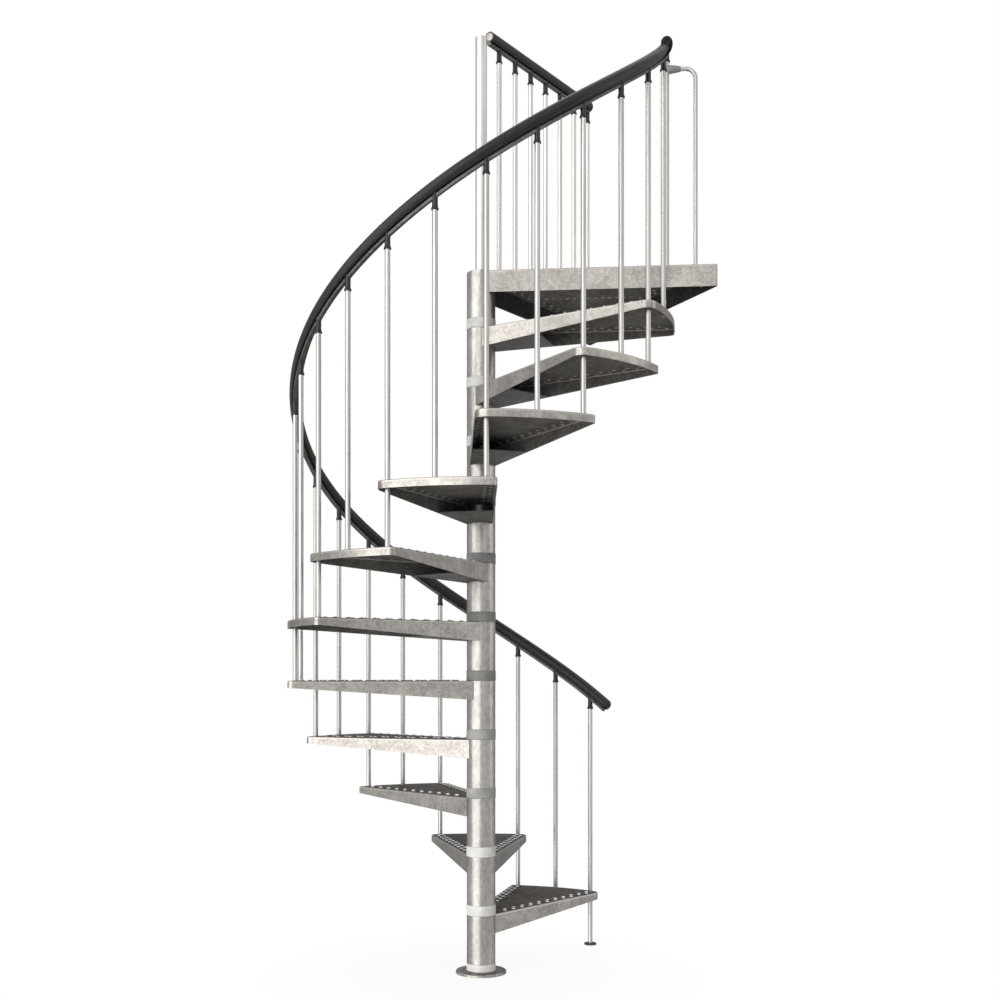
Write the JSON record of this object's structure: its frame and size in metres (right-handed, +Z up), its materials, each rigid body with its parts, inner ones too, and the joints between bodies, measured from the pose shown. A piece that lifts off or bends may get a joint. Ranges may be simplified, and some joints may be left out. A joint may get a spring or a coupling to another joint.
{
  "type": "spiral staircase",
  "caption": "Spiral staircase of pressed steel treads round a centre column, with a triangular landing, tube balusters and a moulded handrail.",
  "frame": {"origin": "centre of the base flange's underside, on the column's axis", "axes": "+Z up along the column; +X square to the landing's outer edge, towards the upper floor; the stair climbs counter-clockwise seen from above"},
  "size_m": [1.4312, 1.4119, 3.488],
  "materials": {
    "galvanised_steel": "hot-dip galvanised, mottled, satin",
    "galvanised_tube": "galvanised tube, smooth, satin",
    "grey_plastic": "matte moulded",
    "black_plastic": "dark grey-black moulded, soft sheen"
  },
  "bodies": {
    "root": {"base_flange": "galvanised_steel", "centre_pole": "galvanised_steel", "spacer_rings": "grey_plastic", "tread_01": "galvanised_steel", "tread_02": "galvanised_steel", "tread_03": "galvanised_steel", "tread_04": "galvanised_steel", "tread_05": "galvanised_steel", "tread_06": "galvanised_steel", "tread_07": "galvanised_steel", "tread_08": "galvanised_steel", "tread_09": "galvanised_steel", "tread_10": "galvanised_steel", "tread_11": "galvanised_steel", "nosing_baluster_01": "galvanised_tube", "nosing_baluster_02": "galvanised_tube", "nosing_baluster_03": "galvanised_tube", "nosing_baluster_04": "galvanised_tube", "nosing_baluster_05": "galvanised_tube", "nosing_baluster_06": "galvanised_tube", "nosing_baluster_07": "galvanised_tube", "nosing_baluster_08": "galvanised_tube", "nosing_baluster_09": "galvanised_tube", "nosing_baluster_10": "galvanised_tube", "nosing_baluster_11": "galvanised_tube", "nosing_baluster_12": "galvanised_tube", "middle_baluster_01": "galvanised_tube", "middle_baluster_02": "galvanised_tube", "middle_baluster_03": "galvanised_tube", "middle_baluster_04": "galvanised_tube", "middle_baluster_05": "galvanised_tube", "middle_baluster_06": "galvanised_tube", "middle_baluster_07": "galvanised_tube", "middle_baluster_08": "galvanised_tube", "middle_baluster_09": "galvanised_tube", "middle_baluster_10": "galvanised_tube", "middle_baluster_11": "galvanised_tube", "baluster_caps": "black_plastic", "stair_handrail": "black_plastic", "landing": "galvanised_steel", "newel_post": "galvanised_tube", "landing_balusters": "galvanised_tube", "landing_caps": "black_plastic", "landing_handrail": "black_plastic", "landing_rail_bracket": "galvanised_steel", "gap_rod": "galvanised_tube", "gap_rod_collar": "grey_plastic"}
  },
  "joints": []
}
